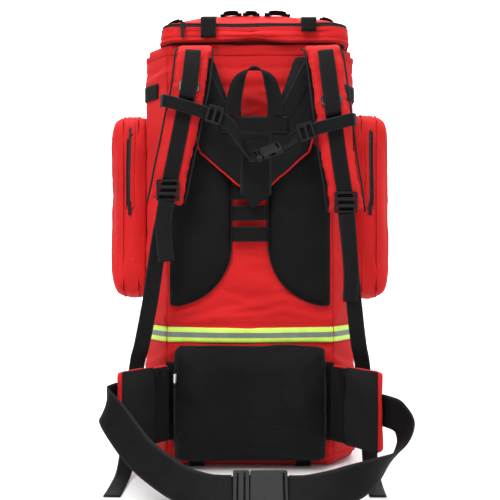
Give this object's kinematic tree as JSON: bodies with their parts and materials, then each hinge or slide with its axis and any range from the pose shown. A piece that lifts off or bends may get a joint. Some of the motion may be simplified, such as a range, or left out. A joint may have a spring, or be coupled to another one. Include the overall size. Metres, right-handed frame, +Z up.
{
  "type": "trauma backpack",
  "caption": "Tall framed rescue backpack with lid, side and front pockets, reflective band, padded back and shoulder harness, chest strap and padded hip belt with side-release buckle.",
  "frame": {"origin": "centre of the base, on the surface that the bag stands on", "axes": "+Z up, -Y towards the wearer (harness side), +X to the right when looking at the harness side"},
  "size_m": [0.4778, 0.5561, 0.7644],
  "materials": {
    "red_fabric": "matte",
    "red_padding": "matte",
    "black_mesh_padding": "matte",
    "foam": "matte",
    "black_fabric": "matte",
    "black_webbing": "satin",
    "zip_tape": "matte",
    "reflective_tape": "satin",
    "frame_plastic": "matte",
    "stay_aluminium": "satin",
    "ring_metal": "satin",
    "buckle_plastic": "satin"
  },
  "bodies": {
    "bag": {"anchor_slides": "buckle_plastic", "anchor_tabs": "black_webbing", "back_pad_left": "black_mesh_padding", "back_pad_right": "black_mesh_padding", "back_panel": "red_fabric", "base_panel": "red_fabric", "base_strap_tabs": "black_webbing", "belt_core": "foam", "belt_socket": "buckle_plastic", "belt_webbing_left": "black_webbing", "belt_webbing_right": "black_webbing", "collar": "red_fabric", "frame_sheet": "frame_plastic", "frame_stays": "stay_aluminium", "front_panel": "red_fabric", "front_pocket": "red_fabric", "front_zip": "zip_tape", "handle_base": "black_webbing", "lid_flap": "red_fabric", "lid_sockets": "buckle_plastic", "lower_webbing_left": "black_webbing", "lower_webbing_right": "black_webbing", "lumbar_pad": "black_mesh_padding", "pocket_zips": "zip_tape", "reflective_band": "reflective_tape", "side_panel_left": "red_fabric", "side_panel_right": "red_fabric", "side_pocket_left": "red_fabric", "side_pocket_right": "red_fabric", "side_webbing": "black_webbing", "socket_webbing": "black_webbing", "torso_ladder": "black_webbing", "torso_tongue": "black_webbing", "webbing_rows": "black_webbing", "yoke_pad": "black_mesh_padding"},
    "lid": {"lid_cover": "red_fabric", "lid_liner": "black_fabric", "lid_zip": "zip_tape", "lid_straps": "black_webbing", "lid_plugs": "buckle_plastic", "lid_loops": "black_webbing"},
    "lid_zip_pull": {"lid_slider": "buckle_plastic"},
    "handle": {"haul_handle": "black_webbing"},
    "harness": {"shoulder_strap_left": "red_padding", "shoulder_strap_right": "red_padding", "strap_webbing": "black_webbing", "load_lifters": "black_webbing", "d_rings": "ring_metal", "ladder_locks": "buckle_plastic", "sternum_webbing_left": "black_webbing", "sternum_webbing_right": "black_webbing", "sternum_slides": "buckle_plastic", "sternum_socket": "buckle_plastic"},
    "chest_plug": {"sternum_plug": "buckle_plastic"},
    "wing_left": {"hip_wing_left": "red_padding"},
    "wing_right": {"hip_wing_right": "red_padding"},
    "hip_plug": {"belt_plug": "buckle_plastic"},
    "pocket_pull_left": {"pocket_slider_left": "buckle_plastic"},
    "pocket_pull_right": {"pocket_slider_right": "buckle_plastic"},
    "front_pull": {"front_slider": "buckle_plastic"}
  },
  "joints": [
    {"name": "lid_hinge", "type": "hinge", "parent": "bag", "child": "lid", "pos_m": [0.007, -0.141, 0.699], "axis": [1, 0, 0], "range_deg": [0, 100]},
    {"name": "lid_zip_slide", "type": "slide", "parent": "lid", "child": "lid_zip_pull", "axis": [1, 0, 0], "range_m": [0, 0.22]},
    {"name": "haul_handle_swing", "type": "hinge", "parent": "bag", "child": "handle", "pos_m": [0.007, -0.157, 0.573], "axis": [1, 0, 0], "range_deg": [0, 45]},
    {"name": "harness_swing", "type": "hinge", "parent": "bag", "child": "harness", "pos_m": [0.007, -0.146, 0.676], "axis": [-1, 0, 0], "range_deg": [0, 25], "deforming": ["lower_webbing_left", "lower_webbing_right", "load_lifters"]},
    {"name": "chest_buckle_release", "type": "slide", "parent": "harness", "child": "chest_plug", "axis": [-0.9326, 0, -0.361], "range_m": [0, 0.03], "deforming": ["sternum_webbing_left"]},
    {"name": "wing_left_fold", "type": "hinge", "parent": "bag", "child": "wing_left", "pos_m": [-0.134, -0.141, 0.11], "axis": [0, 0, 1], "range_deg": [-4, 20], "deforming": ["belt_webbing_left"]},
    {"name": "wing_right_fold", "type": "hinge", "parent": "bag", "child": "wing_right", "pos_m": [0.134, -0.141, 0.11], "axis": [0, 0, -1], "range_deg": [-4, 20], "deforming": ["belt_webbing_right"]},
    {"name": "hip_buckle_release", "type": "slide", "parent": "bag", "child": "hip_plug", "axis": [-1, 0, 0], "range_m": [0, 0.045]},
    {"name": "pocket_zip_slide_left", "type": "slide", "parent": "bag", "child": "pocket_pull_left", "axis": [0, 0, 1], "range_m": [0, 0.12]},
    {"name": "pocket_zip_slide_right", "type": "slide", "parent": "bag", "child": "pocket_pull_right", "axis": [0, 0, 1], "range_m": [0, 0.12]},
    {"name": "front_zip_slide", "type": "slide", "parent": "bag", "child": "front_pull", "axis": [0, 0, 1], "range_m": [0, 0.15]}
  ]
}
